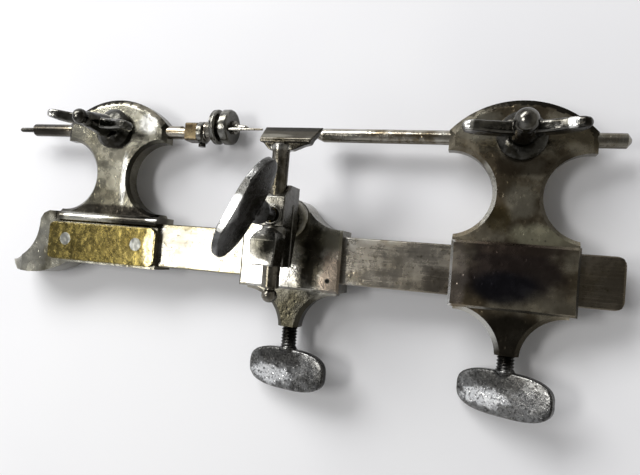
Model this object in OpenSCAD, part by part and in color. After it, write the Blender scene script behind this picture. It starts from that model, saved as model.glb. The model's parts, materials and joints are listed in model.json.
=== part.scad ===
// Watchmaker's turns: a flat bed bar with one fixed head, one sliding head, and a tool rest.
// It lies on its back. X runs along the bed towards the sliding head, Y from the bed towards the
// runners, and Z out of the front face. The origin is the middle of the rear vice cheek.

/* [Bed] */
// Length of the bed bar past the middle of the fixed head, mm
bed_right = 156.1; // [146:0.1:200]
// Height of the bed bar, mm
bed_height = 13.9; // [11:0.1:18]
// Thickness of the bed bar, mm
bed_thick = 6; // [5.4:0.1:7.4]
// Height of the middle of the bed bar above the middle of the cheeks, mm
bed_mid_y = 1.05; // [0:0.05:2]
// Radius of the corners at the free end of the bed bar, mm
bed_corner = 2.6; // [1:0.1:4]

/* [Heads] */
// Height of the runner axis above the middle of the cheeks, mm
axis_y = 38.4; // [36:0.1:44]
// Half length of a head along the runner, mm
head_half = 19.2; // [16:0.1:22]
// Radius of the rounded middle of a head's top, mm
head_top_r = 26; // [22:0.5:34]
// Height of the rounded top above the runner axis, mm
head_rise = 10.25; // [9:0.05:12]
// Height of a head's top above the runner axis at its two ends, mm
head_end = 3.7; // [2.8:0.1:5]
// Slope of a head's top at its two ends, degrees
head_slope = 28.9; // [24:0.1:33]
// Radius of the long slopes of a head's top, mm
head_flank_r = 100; // [70:1:140]
// Width of the slanted edge along a head's top, mm
head_edge = 2.2; // [0.8:0.1:2.6]
// Depth of a head below the runner axis at its two ends, mm
head_drop = 3.9; // [3.4:0.1:6]
// Half width of the waist of a post, mm
waist_half = 6.5; // [5:0.1:9]
// Width of the slanted edges of a post, mm
post_edge = 1.1; // [0.4:0.1:1.6]
// Place of the sliding head along the bed, mm
tail_x = 128.5; // [124:0.1:138]

/* [Blocks] */
// Half width of the block under the sliding head, mm
tail_half = 16.3; // [13:0.1:19]
// Place of the tool rest saddle along the bed, mm
saddle_x = 66.2; // [60:0.1:88]
// Half width of the saddle block, mm
saddle_half = 15.5; // [12:0.1:18]
// Depth of the blocks from back to front, mm
block_depth = 12; // [11.2:0.1:14]
// Wall of a block below the bed bar, mm
wall_low = 2.7; // [2.2:0.1:4]
// Wall of a block above the bed bar, mm
wall_top = 1.4; // [1:0.1:3]
// Gap between the bed bar and the blocks that slide on it, mm
slide_gap = 0.06; // [0.02:0.01:0.1]
// Length of the tapered neck under the sliding head's block, mm
neck_long = 12.1; // [10:0.1:16]
// Length of the tapered neck under the saddle, mm
saddle_neck = 11.3; // [10:0.1:16]
// Steel round the clamping screw at the end of its neck, mm
neck_wall = 0.78; // [0.5:0.02:1.5]

/* [Cheeks] */
// Half length of a vice cheek, mm
cheek_half = 20.5; // [19.5:0.1:25]
// Half height of a vice cheek, mm
cheek_high = 6.2; // [4:0.1:6.6]
// Thickness of a vice cheek, mm
cheek_thick = 1.5; // [1:0.1:2]
// Radius of the corners of a vice cheek, mm
cheek_corner = 2.3; // [0.6:0.1:2.6]
// Distance of each rivet from the end of its cheek, mm
rivet_in = 6.9; // [4.5:0.1:9]
// Diameter of a rivet, mm
rivet_d = 4.2; // [3:0.1:5]

/* [Runners] */
// Diameter of the runner in the fixed head, mm
left_d = 4.3; // [3.5:0.05:4.6]
// Diameter of the runner in the sliding head, mm
right_d = 4.1; // [3.5:0.05:4.6]
// Length of the left runner on the far side of its head, mm
left_reach = 16.2; // [12:0.1:30]
// Diameter of the thin end of the left runner, mm
thin_d = 1.6; // [1:0.1:2.4]
// Length of the thin end of the left runner, mm
thin_long = 6; // [3:0.1:9]
// Place of the right runner's point along the bed, mm
right_tip = 68; // [60:0.1:84]
// Length of the right runner on the far side of its head, mm
right_reach = 8; // [4:0.1:30]
// Width of the block on the left runner, mm
clamp_block = 5.8; // [5.4:0.1:8]
// Sideways offset of the pulley nose from the runner axis, mm
nose_offset = 2; // [0:0.1:2.2]
// Radius of the nose under the pulley, mm
nose_r = 1.45; // [1:0.05:1.8]
// Diameter of the pulley, mm
pulley_d = 11.2; // [9:0.1:14]
// Width of the pulley, mm
pulley_w = 6.6; // [5.4:0.1:9]
// Diameter of the driver pin in the pulley, mm
pin_d = 1.1; // [0.8:0.1:1.6]

/* [Screws] */
// Diameter of the clamping screws under the blocks, mm
screw_d = 4.65; // [3.5:0.05:5]
// Distance from one thread ridge to the next, mm
screw_pitch = 0.92; // [0.6:0.02:1.2]
// Length of an oval knob, mm
knob_long = 27; // [22:0.1:32]
// Height of an oval knob along its screw, mm
knob_high = 12.2; // [9:0.1:15]
// Thickness of an oval knob in its middle, mm
knob_thick = 3.1; // [2.8:0.1:5]
// Gap between the sliding head's neck and the oval knob below it, mm
knob_gap = 4.5; // [3:0.1:8]
// Gap between the saddle's neck and the oval knob below it, mm
saddle_gap = 6.8; // [3:0.1:9]
// Turn of the tailstock knob about its screw, degrees
tail_knob_turn = 26; // [0:1:90]
// Turn of the saddle knob about its screw, degrees
saddle_knob_turn = 16; // [0:1:90]
// Turn of the holder knob about its screw, degrees
holder_knob_turn = 27; // [0:1:90]
// Diameter of the wing screw shanks, mm
wing_d = 4; // [3:0.1:5]
// Radius of the bush in the fixed head, mm
left_bush_r = 6.5; // [5.4:0.1:7.6]
// Radius of the bush in the sliding head, mm
right_bush_r = 6.7; // [5.4:0.1:7.6]
// Diameter of the ball on the left wing screw, mm
left_ball = 4.7; // [4:0.1:7]
// Diameter of the ball on the right wing screw, mm
right_ball = 6; // [4:0.1:7]
// Span of a wing screw, mm
wing_span = 30.6; // [29:0.2:36]
// Thickness of a wing, mm
wing_thick = 3.3; // [1.5:0.1:4.4]

/* [Tool rest] */
// Place of the rest holder along the bed, measured from the middle of the saddle, mm
holder_shift = -0.6; // [-1:0.1:1]
// Height of the holder screw above the blocks' top edge, mm
holder_rise = 2.5; // [2:0.1:4]
// Radius of the bar of the holder that slides in the saddle, mm
bar_r = 3.5; // [2.5:0.1:4]
// Gap between the saddle and the rear jaw of the holder, mm
holder_gap = 3.6; // [2.8:0.1:6]
// Distance of the rest stem in front of the blocks' front face, mm
stem_out = 12; // [11:0.1:16]
// Diameter of the rest stem, mm
stem_d = 4.85; // [4:0.05:5.4]
// Width of the saw slit in the holder, mm
slit = 1.1; // [0.4:0.1:1.4]
// Length of the neck of the holder's thumbscrew, mm
screw_neck = 7.8; // [5:0.1:10]
// Length of the rest blade, mm
blade_long = 16.8; // [14:0.1:26]
// Depth of the blade's top edge below the runner axis, mm
blade_drop = 1.5; // [0:0.1:5]
// Length of the rest stem below the blade, mm
stem_long = 44.8; // [40:0.1:52]

/* [Output] */
// Fineness of the round surfaces in the preview
$fn = 64; // [32:8:128]

/* [Hidden] */
fit = 0.05;
seat = 0.03;
mid_z = block_depth / 2;
plate_back = mid_z - bed_thick / 2;
plate_front = mid_z + bed_thick / 2;
bed_low = bed_mid_y - bed_height / 2;
bed_top = bed_mid_y + bed_height / 2;
block_low = bed_low - wall_low;
block_top = bed_top + wall_top;
foot_top = block_top + 0.5;
lug_low = -cheek_high - 0.7;
hollow_low = block_top + 1.5;
hollow_high = axis_y - head_drop;
hollow_r = (hollow_high - hollow_low) / 2;
hollow_y = (hollow_high + hollow_low) / 2;
neck_half = screw_d / 2 + neck_wall;
tail_knob_y = block_low - neck_long - knob_gap;
saddle_knob_y = block_low - saddle_neck - saddle_gap;
shoe_thick = 1.55;
shoe_travel = 1.8;
shoe_low = bed_low - fit - shoe_thick;
pocket_low = shoe_low - shoe_travel;
rivet_x = cheek_half - rivet_in;
rivet_y = 0.7;
bush_seat = plate_front - 0.5;
bush_top = plate_front + 3.8;
pad_top = plate_front + 0.5;
clamp_x = head_half + 6.7;
clamp_w = 4.4;
collar_x = clamp_x + clamp_w + fit;
collar_w = 2;
nose_y = axis_y + nose_offset;
pulley_x = collar_x + collar_w + 2.75;
pulley_right = pulley_x + pulley_w;
ring_w = 0.7;
nose_right = pulley_right + ring_w + 1;
pin_off = pulley_d / 2 - 1.87;
pin_y = nose_y - pin_off * 0.348;
pin_z = mid_z + pin_off * 0.937;
holder_x = saddle_x + holder_shift;
holder_y = block_top + holder_rise;
stem_z = block_depth + stem_out;
jaw_back = block_depth + holder_gap;
jaw_half = 3.5;
jaw_top = holder_y + 8.7;
jaw_low = holder_y - 13.9;
slit_z = stem_z - stem_d / 2 - 0.9 - slit;
tube_r = stem_d / 2 + 0.88;
tube_top = holder_y + 5.8;
boss_top = stem_z + 4.2;
holder_hole = 1.95;
pad_z = stem_z + stem_d / 2 + seat;
pad_thick = 1.62;
screw_z = pad_z + pad_thick + 0.02;
blade_top = axis_y - blade_drop;
stem_low = blade_top - stem_long;

// Turns a shape made round the Z axis so that its top points along X
module to_x() { rotate([0, 90, 0]) children(); }

// Turns a shape made round the Z axis so that its top points along Y
module to_y() { rotate([-90, 0, 0]) children(); }

// Half outline of a threaded shank, as rings, from height a
function thread_side(r, a, p, n) = [for (i = [0 : n - 1]) each [
  [r - 0.32, a + i * p], [r, a + i * p + 0.38 * p], [r, a + i * p + 0.62 * p]]];

// Threaded shank round the Z axis from a to b
module thread(r, a, b) {
  n = floor((b - a) / screw_pitch);
  p = (b - a) / n;
  rotate_extrude() polygon(concat([[0, a]], thread_side(r, a, p, n), [[r - 0.32, b], [0, b]]));
}

// Flat bar profile with small edges, run along X
module bar_shape(a, b, low, high, back, front, e) {
  translate([a, 0, 0]) rotate([90, 0, 90]) linear_extrude(height = b - a)
    polygon([[low + e, back], [high - e, back], [high, back + e], [high, front - e],
      [high - e, front], [low + e, front], [low, front - e], [low, back + e]]);
}

// Round plate with slanted edges, larger or smaller towards its two faces
module edged_disc(r, d, back, front) {
  w = 1.1;
  translate([0, 0, back]) cylinder(r1 = r + d, r2 = r, h = w);
  translate([0, 0, back + w]) cylinder(r = r, h = front - back - 2 * w);
  translate([0, 0, front - w]) cylinder(r1 = r, r2 = r + d, h = w);
}

// Post of a head with its long rounded head, foot half width given
module post(cx, foot) {
  difference() {
    intersection() {
      union() {
        translate([cx - head_half, hollow_y - 0.7, plate_back])
          cube([2 * head_half, axis_y + head_rise - hollow_y + 2, bed_thick]);
        translate([cx - foot, block_top - 1, plate_back])
          cube([2 * foot, hollow_y - block_top + 1.3, bed_thick]);
      }
      translate([cx, axis_y + head_rise - head_top_r, 0]) edged_disc(head_top_r, -head_edge, plate_back, plate_front);
      for (s = [-1, 1]) translate([cx + s * (head_half - head_flank_r * sin(head_slope)),
        axis_y + head_end - head_flank_r * cos(head_slope), 0])
        edged_disc(head_flank_r, -head_edge, plate_back, plate_front);
    }
    for (s = [-1, 1]) {
      translate([cx + s * (waist_half + hollow_r), hollow_y, 0])
        edged_disc(hollow_r, post_edge, plate_back - 0.01, plate_front + 0.01);
      // slanted edges at the two ends of the head
      for (f = [-1, 1]) translate([cx + s * head_half, axis_y, mid_z + f * bed_thick / 2])
        rotate([0, s * f * 35, 0]) translate([-1.2, -8, -1]) cube([3, 16, 2]);
    }
  }
}

// Flat neck under a block that tapers down to the clamping screw
module taper_neck(cx, half, long) {
  r = long - 0.1;
  low = block_low - long;
  wide = min(half - 1.2, neck_half + r - 0.2);
  difference() {
    translate([cx - wide, low, plate_back]) cube([2 * wide, long + 1, bed_thick]);
    for (s = [-1, 1]) translate([cx + s * (neck_half + r), low - 0.8, 0])
      edged_disc(r, 1.3, plate_back - 0.01, plate_front + 0.01);
  }
}

// Half length of the shoe under a block of a given half width
function shoe_half(half) = half - 7;

// Slot for the bed bar, the shoe pocket and the screw hole under one block
module block_cuts(cx, half, long) {
  g = slide_gap;
  translate([cx - half - 1, bed_low - g, plate_back - g])
    cube([2 * half + 2, bed_height + 2 * g, bed_thick + 2 * g]);
  translate([cx - shoe_half(half) - 0.1, pocket_low, plate_back + 0.6])
    cube([2 * shoe_half(half) + 0.2, bed_low - pocket_low, bed_thick - 1.2]);
  translate([cx, block_low - long - 1, mid_z]) to_y()
    cylinder(r = screw_d / 2 + fit, h = pocket_low - block_low + long + 1.6);
}

// Block with slanted front and back edges
module edged_block(cx, half, low, high) {
  e = 0.7;
  intersection() {
    translate([cx - half, low, 0]) cube([2 * half, high - low, block_depth]);
    bar_shape(cx - half, cx + half, low, high, 0, block_depth, e);
    translate([0, low, 0]) rotate([-90, 0, 0]) linear_extrude(height = high - low)
      polygon([[cx - half, -e], [cx - half + e, 0], [cx + half - e, 0], [cx + half, -e],
        [cx + half, e - block_depth], [cx + half - e, -block_depth],
        [cx - half + e, -block_depth], [cx - half, e - block_depth]]);
  }
}

// Oval knob with straight long sides and slightly domed faces, its neck end at the origin, screw along Z
module oval_knob() {
  a = knob_long / 2;
  t = knob_thick / 2;
  translate([0, 0, -knob_high / 2]) rotate([90, 0, 0]) intersection() {
    scale([1, 1.18 * knob_high / knob_long, 1])
      rotate_extrude() polygon([[0, -t], [a * 0.45, 0.1 - t], [a * 0.8, 0.28 - t], [a - 0.5, 0.5 - t],
        [a, 0.75 - t], [a, t - 0.75], [a - 0.5, t - 0.5], [a * 0.8, t - 0.28], [a * 0.45, t - 0.1], [0, t]]);
    cube([knob_long + 2, knob_high, knob_thick + 2], center = true);
  }
}

// Clamping screw under a block: shank, collar and oval knob
module block_screw(cx, turn, knob_y) {
  r = screw_d / 2;
  translate([cx, 0, mid_z]) to_y() rotate([0, 0, turn]) {
    thread(r, knob_y - 0.4, shoe_low - 0.02);
    translate([0, 0, knob_y - 0.7]) cylinder(r1 = r + 0.7, r2 = r + 0.2, h = 0.9);
    translate([0, 0, knob_y]) oval_knob();
  }
}

// Steel shoe that presses on the bed bar
module shoe(cx, half) {
  h = shoe_half(half);
  translate([cx - h, shoe_low, plate_back + 0.68]) cube([2 * h, shoe_thick, bed_thick - 1.36]);
}

// Round bush in the front of a head, bored for the wing screw
module screw_bush(cx, r) {
  translate([cx, axis_y, 0]) difference() {
    union() {
      translate([0, 0, bush_seat]) cylinder(r = r, h = 2.1);
      translate([0, 0, bush_top - 2.2]) cylinder(r1 = r, r2 = r - 1.2, h = 1.1);
      translate([0, 0, bush_top - 1.1]) cylinder(r1 = r - 1.2, r2 = wing_d / 2 + 1.4, h = 1.1);
    }
    translate([0, 0, bush_seat - 0.5]) cylinder(r = wing_d / 2 + fit, h = bush_top - bush_seat + 1);
  }
}

// Wing screw: shank, cone, two flat wings and a ball
module wing_screw(cx, turn, ball) {
  z = bush_top + 0.6;
  e = wing_span / 2 - 1;
  translate([cx, axis_y, 0]) rotate([0, 0, turn]) {
    thread(wing_d / 2, pad_top + 0.05, z);
    translate([0, 0, z]) cylinder(r1 = 2.7, r2 = 3.6, h = 2.2);
    translate([0, 0, z + 2.2]) cylinder(r1 = 3.6, r2 = 2.4, h = 8.2);
    for (s = [0, 180]) rotate([0, 0, s]) difference() {
      translate([1, wing_thick / 2, z - 13.4]) rotate([90, 0, 0]) linear_extrude(height = wing_thick)
        polygon([[0, 15.4], [5, 15.6], [e - 4.5, 17.2], [e - 1.3, 18.8], [e - 0.2, 20.2], [e, 21.4],
          [e - 0.1, 22.8], [e - 0.7, 24], [e - 1.9, 24.4], [e - 3.6, 23.9], [8, 22], [4, 20.7], [0, 20.4]]);
      for (f = [-1, 1]) translate([8, f * (wing_thick / 2 + 0.95), z - 3.4]) rotate([0, 0, -f * 4])
        translate([-8, -1, 0]) cube([e + 4, 2, 20]);
    }
    translate([0, 0, z + 9.6]) cylinder(r1 = 2.2, r2 = 1.5, h = 1.6);
    translate([0, 0, z + 10.8 + ball * 0.42]) sphere(r = ball / 2);
  }
}

// Pad between a wing screw and its runner
module runner_pad(cx, d) {
  low = mid_z + d / 2 + seat;
  translate([cx, axis_y, low]) cylinder(r = wing_d / 2 - 0.1, h = pad_top - low);
}

// Hole for the runner, seat for the bush and hole for the pad, in one head
module head_cuts(cx, d, r) {
  translate([cx - head_half - 1, axis_y, mid_z]) to_x() cylinder(r = d / 2 + fit, h = 2 * head_half + 2);
  translate([cx, axis_y, bush_seat]) cylinder(r = r, h = 2);
  translate([cx, axis_y, mid_z]) cylinder(r = wing_d / 2 - fit, h = bed_thick / 2 + 1);
}

// Holes for the two rivets
module rivet_holes() {
  for (s = [-1, 1]) translate([s * rivet_x, rivet_y, -1]) cylinder(r = rivet_d / 2, h = block_depth + 2);
}

// Bed bar
module bed_bar() {
  c = bed_corner;
  color([0.62, 0.61, 0.58]) difference() {
    bar_shape(-cheek_half, bed_right, bed_low, bed_top, plate_back, plate_front, 0.35);
    // rounded corners of the free end
    translate([bed_right - c, bed_top - c, 0]) difference() {
      cube([c + 1, c + 1, block_depth]);
      cylinder(r = c, h = block_depth);
    }
    translate([bed_right - c, bed_low + c, 0]) difference() {
      translate([0, -c - 1, 0]) cube([c + 1, c + 1, block_depth]);
      cylinder(r = c, h = block_depth);
    }
    // slanted front and back edges of the free end
    for (s = [0, 1]) translate([bed_right, bed_low - 1, s ? plate_front : plate_back])
      rotate([0, s ? 30 : -30, 0]) translate([-0.55, 0, s ? -0.75 : -1.45]) cube([3, bed_height + 2, 2.2]);
    rivet_holes();
  }
}

// Outline of the left end of the lug and its spur
function spur_points(l) = [[l + 1, foot_top], [l - 1.8, foot_top], [l - 3.9, foot_top - 1], [l - 5.1, foot_top - 2.9],
  [l - 5.3, lug_low + 10.9], [l - 18.4, lug_low - 1], [l - 17.3, lug_low - 2.6], [l - 14.8, lug_low - 4.4],
  [l - 8.4, lug_low - 4.7], [l - 3.5, lug_low - 4.3], [l - 0.5, lug_low - 3.5], [l + 4.4, lug_low - 1.7],
  [l + 7.1, lug_low], [l + 1, lug_low]];

// Fixed head: post, foot, vice lug and spur
module headstock() {
  l = -cheek_half;
  deep = block_depth - 2 * cheek_thick;
  color([0.45, 0.44, 0.4]) difference() {
    union() {
      post(0, head_half);
      // foot with a rounded front edge
      translate([l, cheek_high + 0.3, cheek_thick]) cube([2 * cheek_half, foot_top - cheek_high - 0.3, deep - 0.3]);
      translate([l + 3.5, foot_top - 1.7, block_depth - 1.8]) to_x() cylinder(r = 1.7, h = 2 * cheek_half - 3.5);
      // lug between the cheeks
      translate([l, lug_low, cheek_thick]) cube([2 * cheek_half, foot_top - 2.8 - lug_low, deep]);
      difference() {
        translate([0, 0, cheek_thick]) linear_extrude(height = deep) polygon(spur_points(l));
        translate([l - 18.5, lug_low + 12.1, 0]) cylinder(r = 13.2, h = block_depth);
        // slanted face that thins the spur
        translate([l - 18.4, lug_low - 1, block_depth]) rotate([0, -28, 0]) translate([-8, -6, -4.6]) cube([20, 8, 6]);
      }
    }
    bar_shape(l - 0.05, cheek_half + 10, bed_low - 0.02, bed_top + 0.02, plate_back - 0.02, plate_front + 0.02, 0.3);
    head_cuts(0, left_d, left_bush_r);
    rivet_holes();
  }
}

// Brass plate of the vice lug, its outer face at depth a, facing front or back
module cheek(a, front) {
  t = cheek_thick;
  e = 0.3;
  c = cheek_corner;
  color([0.62, 0.53, 0.3]) difference() {
    union() {
      translate([-cheek_half, -cheek_high, front ? a - t : a + e])
        cube([2 * cheek_half, 2 * cheek_high, t - e]);
      translate([e - cheek_half, e - cheek_high, front ? a - t : a])
        cube([2 * (cheek_half - e), 2 * (cheek_high - e), t]);
    }
    // rounded corners
    for (sx = [-1, 1]) for (sy = [-1, 1])
      translate([sx * (cheek_half - c), sy * (cheek_high - c), a - 3]) difference() {
        translate([sx > 0 ? 0 : -c - 1, sy > 0 ? 0 : -c - 1, 0]) cube([c + 1, c + 1, 6]);
        translate([0, 0, -1]) cylinder(r = c, h = 8);
      }
    rivet_holes();
  }
}

// Brass cheek in front
module front_cheek() { cheek(block_depth, true); }

// Brass cheek behind
module rear_cheek() { cheek(0, false); }

// Steel rivet through the cheeks, the lug and the bar
module rivet(x) {
  color([0.68, 0.68, 0.66]) translate([x, rivet_y, 0.05]) cylinder(r = rivet_d / 2, h = block_depth - 0.1);
}

// Rivet on the left
module left_rivet() { rivet(-rivet_x); }

// Rivet on the right
module right_rivet() { rivet(rivet_x); }

// Runner of the fixed head, with its thin end, its neck and the offset nose for the pulley
module left_runner() {
  r = left_d / 2;
  a = -head_half - left_reach;
  cone = collar_x + collar_w + 0.05;
  color([0.6, 0.6, 0.58]) difference() {
    union() {
      translate([a - thin_long - 0.6, axis_y, mid_z]) to_x() cylinder(r1 = thin_d / 2 - 0.25, r2 = thin_d / 2, h = 0.6);
      translate([a - thin_long, axis_y, mid_z]) to_x() cylinder(r = thin_d / 2, h = thin_long + 0.4);
      translate([a, axis_y, mid_z]) to_x() cylinder(r1 = r - 0.4, r2 = r, h = 0.5);
      translate([a + 0.5, axis_y, mid_z]) to_x() cylinder(r = r, h = cone - 0.5 - a - 0.5);
      translate([cone - 0.5, axis_y, mid_z]) to_x() cylinder(r = 2.7, h = 0.9);
      translate([cone, axis_y + nose_offset * 0.5, mid_z]) to_x() cylinder(r1 = 2.7, r2 = 2, h = pulley_x - cone - 0.3);
      translate([cone + 0.6, nose_y, mid_z]) to_x() cylinder(r = nose_r, h = nose_right - cone - 0.6);
      translate([nose_right, nose_y, mid_z]) to_x() cylinder(r1 = 1, r2 = 0.75, h = 2.6);
      translate([nose_right + 2.6, nose_y, mid_z]) to_x() cylinder(r1 = 0.75, r2 = 0.1, h = 1);
    }
    // filed neck next to the block
    translate([clamp_x - 2.3, axis_y + 0.42 * r, mid_z - 3]) cube([2.1, 3, 6]);
    translate([clamp_x - 2.3, axis_y - 3 - 0.74 * r, mid_z - 3]) cube([2.1, 3, 6]);
  }
}

// Block clamped on the runner behind the pulley
module runner_block() {
  h = clamp_block / 2;
  color([0.55, 0.49, 0.33]) difference() {
    bar_shape(clamp_x, clamp_x + clamp_w, axis_y - h, axis_y + h, mid_z - h, mid_z + h, 0.5);
    translate([clamp_x - 1, axis_y, mid_z]) to_x() cylinder(r = left_d / 2, h = clamp_w + 2);
  }
}

// Collar on the runner next to the pulley, with a hole for its screw
module runner_collar() {
  color([0.5, 0.5, 0.48]) difference() {
    union() {
      translate([collar_x, axis_y, mid_z]) to_x() cylinder(r = 3.6, h = collar_w - 0.5);
      translate([collar_x + collar_w - 0.5, axis_y, mid_z]) to_x() cylinder(r1 = 3.6, r2 = 3, h = 0.5);
    }
    translate([collar_x + collar_w - 0.5, axis_y, mid_z]) to_x() cylinder(r = 2.72, h = 2);
    translate([collar_x - 1, axis_y, mid_z]) to_x() cylinder(r = left_d / 2, h = 4);
    translate([collar_x + 0.75, axis_y, mid_z]) rotate([90, 0, 0]) cylinder(r = 0.6, h = 6);
  }
}

// Small screw in the collar, head below
module collar_screw() {
  color([0.36, 0.35, 0.33]) translate([collar_x + 0.75, axis_y, mid_z]) rotate([90, 0, 0]) {
    translate([0, 0, left_d / 2 + 0.02]) cylinder(r = 0.6, h = 3.7 - left_d / 2);
    translate([0, 0, 3.62]) cylinder(r = 1.15, h = 0.9);
  }
}

// Pulley with one driving groove, free on the nose
module pulley() {
  r = pulley_d / 2;
  w = pulley_w;
  b = nose_r + fit;
  color([0.57, 0.57, 0.55]) difference() {
    translate([pulley_x, nose_y, mid_z]) to_x() rotate_extrude()
      polygon([[b, 0], [r - 1.2, 0], [r - 0.4, 0.25], [r - 0.05, 0.6], [r - 0.3, 1.05], [r, 1.5],
        [r - 0.1, 1.95], [r - 0.6, 2.3], [r - 1.9, 2.7], [r - 1.9, 3.3], [r - 0.5, 3.75], [r, 4],
        [r, w - 0.7], [r - 0.3, w - 0.2], [r - 0.6, w], [b, w]]);
    translate([pulley_x + 3.8, pin_y, pin_z]) to_x() cylinder(r = pin_d / 2, h = pulley_w);
  }
}

// Stepped pin that stands out of the pulley face
module driver_pin() {
  color([0.52, 0.52, 0.5]) translate([0, pin_y, pin_z]) {
    translate([pulley_x + 3.8, 0, 0]) to_x() cylinder(r = pin_d / 2, h = pulley_w + 0.7);
    translate([pulley_right + 4.5, 0, 0]) to_x() cylinder(r1 = pin_d / 2 - 0.15, r2 = pin_d / 2 - 0.25, h = 7.1);
  }
}

// Ring that keeps the pulley on its nose
module nose_ring() {
  color([0.45, 0.44, 0.42]) translate([pulley_right + 0.1, nose_y, mid_z]) to_x() difference() {
    cylinder(r = nose_r + 0.65, h = ring_w);
    translate([0, 0, -1]) cylinder(r = nose_r, h = ring_w + 2);
  }
}

// Bush of the fixed head
module left_screw_bush() { color([0.3, 0.3, 0.29]) screw_bush(0, left_bush_r); }

// Wing screw of the fixed head
module left_wing_screw() { color([0.35, 0.35, 0.34]) wing_screw(0, -7, left_ball); }

// Pad of the fixed head
module left_pad() { color([0.6, 0.5, 0.28]) runner_pad(0, left_d); }

// Sliding head
module tailstock() {
  color([0.42, 0.4, 0.36]) difference() {
    union() {
      post(tail_x, tail_half);
      edged_block(tail_x, tail_half, block_low, block_top);
      taper_neck(tail_x, tail_half, neck_long);
    }
    block_cuts(tail_x, tail_half, neck_long);
    head_cuts(tail_x, right_d, right_bush_r);
  }
}

// Shoe of the sliding head
module tailstock_shoe() { color([0.5, 0.5, 0.48]) shoe(tail_x, tail_half); }

// Clamping screw of the sliding head
module tailstock_thumbscrew() { color([0.48, 0.47, 0.45]) block_screw(tail_x, -tail_knob_turn, tail_knob_y); }

// Runner of the sliding head, pointed at the left and with a low point at the right
module tailstock_runner() {
  r = right_d / 2;
  end = tail_x + head_half + right_reach;
  color([0.58, 0.57, 0.55]) translate([0, axis_y, mid_z]) {
    translate([right_tip, 0, 0]) to_x() cylinder(r1 = 0.15, r2 = r, h = 4.2);
    translate([right_tip + 4.2, 0, 0]) to_x() cylinder(r = r, h = end - 1.1 - right_tip - 4.2);
    translate([end - 1.1, 0, 0]) to_x() cylinder(r1 = r, r2 = 0.6, h = 1.1);
  }
}

// Bush of the sliding head
module right_screw_bush() { color([0.3, 0.3, 0.29]) screw_bush(tail_x, right_bush_r); }

// Wing screw of the sliding head
module right_wing_screw() { color([0.35, 0.35, 0.34]) wing_screw(tail_x, 2.5, right_ball); }

// Pad of the sliding head
module right_pad() { color([0.6, 0.5, 0.28]) runner_pad(tail_x, right_d); }

// Saddle of the tool rest
module saddle() {
  top = block_top + 0.3;
  w = saddle_half - 0.9;
  color([0.44, 0.42, 0.37]) difference() {
    union() {
      edged_block(saddle_x, saddle_half, block_low, top);
      taper_neck(saddle_x, saddle_half, saddle_neck);
      difference() {
        translate([saddle_x - w, top - 1.2, 1.2]) cube([2 * w, 5.8, block_depth - 1.2]);
        for (s = [-1, 1]) translate([saddle_x + s * w, top + 11.2, 0]) cylinder(r = 11.2, h = block_depth + 2);
      }
      translate([holder_x, holder_y, 1.2]) cylinder(r = bar_r + 2.7, h = block_depth - 1.2);
    }
    block_cuts(saddle_x, saddle_half, saddle_neck);
    translate([holder_x, holder_y, 0]) cylinder(r = bar_r + fit, h = block_depth + 2);
  }
}

// Shoe of the saddle
module saddle_shoe() { color([0.5, 0.5, 0.48]) shoe(saddle_x, saddle_half); }

// Clamping screw of the saddle
module saddle_thumbscrew() { color([0.48, 0.47, 0.45]) block_screw(saddle_x, -saddle_knob_turn, saddle_knob_y); }

// Domed ring on the front of the saddle, round the sliding bar of the holder
module saddle_boss() {
  z = block_depth;
  b = bar_r + fit;
  color([0.4, 0.38, 0.34]) translate([holder_x, holder_y, 0]) rotate_extrude()
    polygon([[b, z], [b + 2.4, z], [b + 2.4, z + 1.1], [b + 2.05, z + 2], [b + 1.2, z + 2.5], [b, z + 2.6]]);
}

// Holder of the rest: sliding bar, rear jaw, saw slit, front jaw and screw boss
module rest_holder() {
  color([0.36, 0.36, 0.34]) difference() {
    union() {
      translate([holder_x, holder_y, 1.4]) cylinder(r = bar_r, h = jaw_back + 1.8 - 1.4);
      // rear jaw, thinner below the sliding bar, and the flat-faced block round the stem with its slanted top
      translate([holder_x - jaw_half, 0, 0]) rotate([90, 0, 90]) linear_extrude(height = 2 * jaw_half)
        polygon([[jaw_low, slit_z + slit], [jaw_low, slit_z - 1.5], [holder_y - bar_r - 1, jaw_back], [jaw_top, jaw_back],
          [jaw_top, stem_z - 1.1], [jaw_top - 3.8, stem_z + tube_r + 0.1], [holder_y - 3, stem_z + tube_r + 0.1],
          [holder_y - 3, slit_z + slit]]);
      // tube round the stem
      translate([holder_x, jaw_low + 0.1, stem_z]) to_y() cylinder(r = tube_r, h = tube_top - 1.3 - jaw_low);
      // lower front jaw with an arched top
      translate([holder_x - 3.6, jaw_low, slit_z + slit]) cube([7.2, 9, stem_z + 1.3 - slit_z - slit]);
      translate([holder_x, jaw_low + 9, slit_z + slit]) cylinder(r = 3.6, h = stem_z + 1.3 - slit_z - slit);
      // thick arched lump in front of it, its upper front edge cut off
      difference() {
        union() {
          translate([holder_x, 0, stem_z + 1]) linear_extrude(height = 7)
            polygon([[-3.2, jaw_low + 0.2], [3.2, jaw_low + 0.2], [3.7, jaw_low + 6.5], [-3.7, jaw_low + 6.5]]);
          translate([holder_x, jaw_low + 6.5, stem_z + 1]) cylinder(r = 3.7, h = 7);
        }
        translate([holder_x - 5, jaw_low + 6.9, stem_z + 8]) rotate([-39, 0, 0]) translate([0, -6, 0]) cube([10, 16, 6]);
      }
      // low boss round the screw hole
      translate([holder_x, holder_y, stem_z - 1]) cylinder(r = 2.7, h = boss_top - stem_z + 1);
    }
    translate([holder_x, jaw_low - 3, stem_z]) to_y() cylinder(r = stem_d / 2 + fit, h = tube_top - jaw_low + 20);
    translate([holder_x, holder_y, stem_z]) cylinder(r = holder_hole, h = 10);
    // saw slit, open below
    translate([holder_x - 6, jaw_low - 1, slit_z]) cube([12, tube_top - 2.5 - jaw_low + 1, slit]);
  }
}

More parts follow.
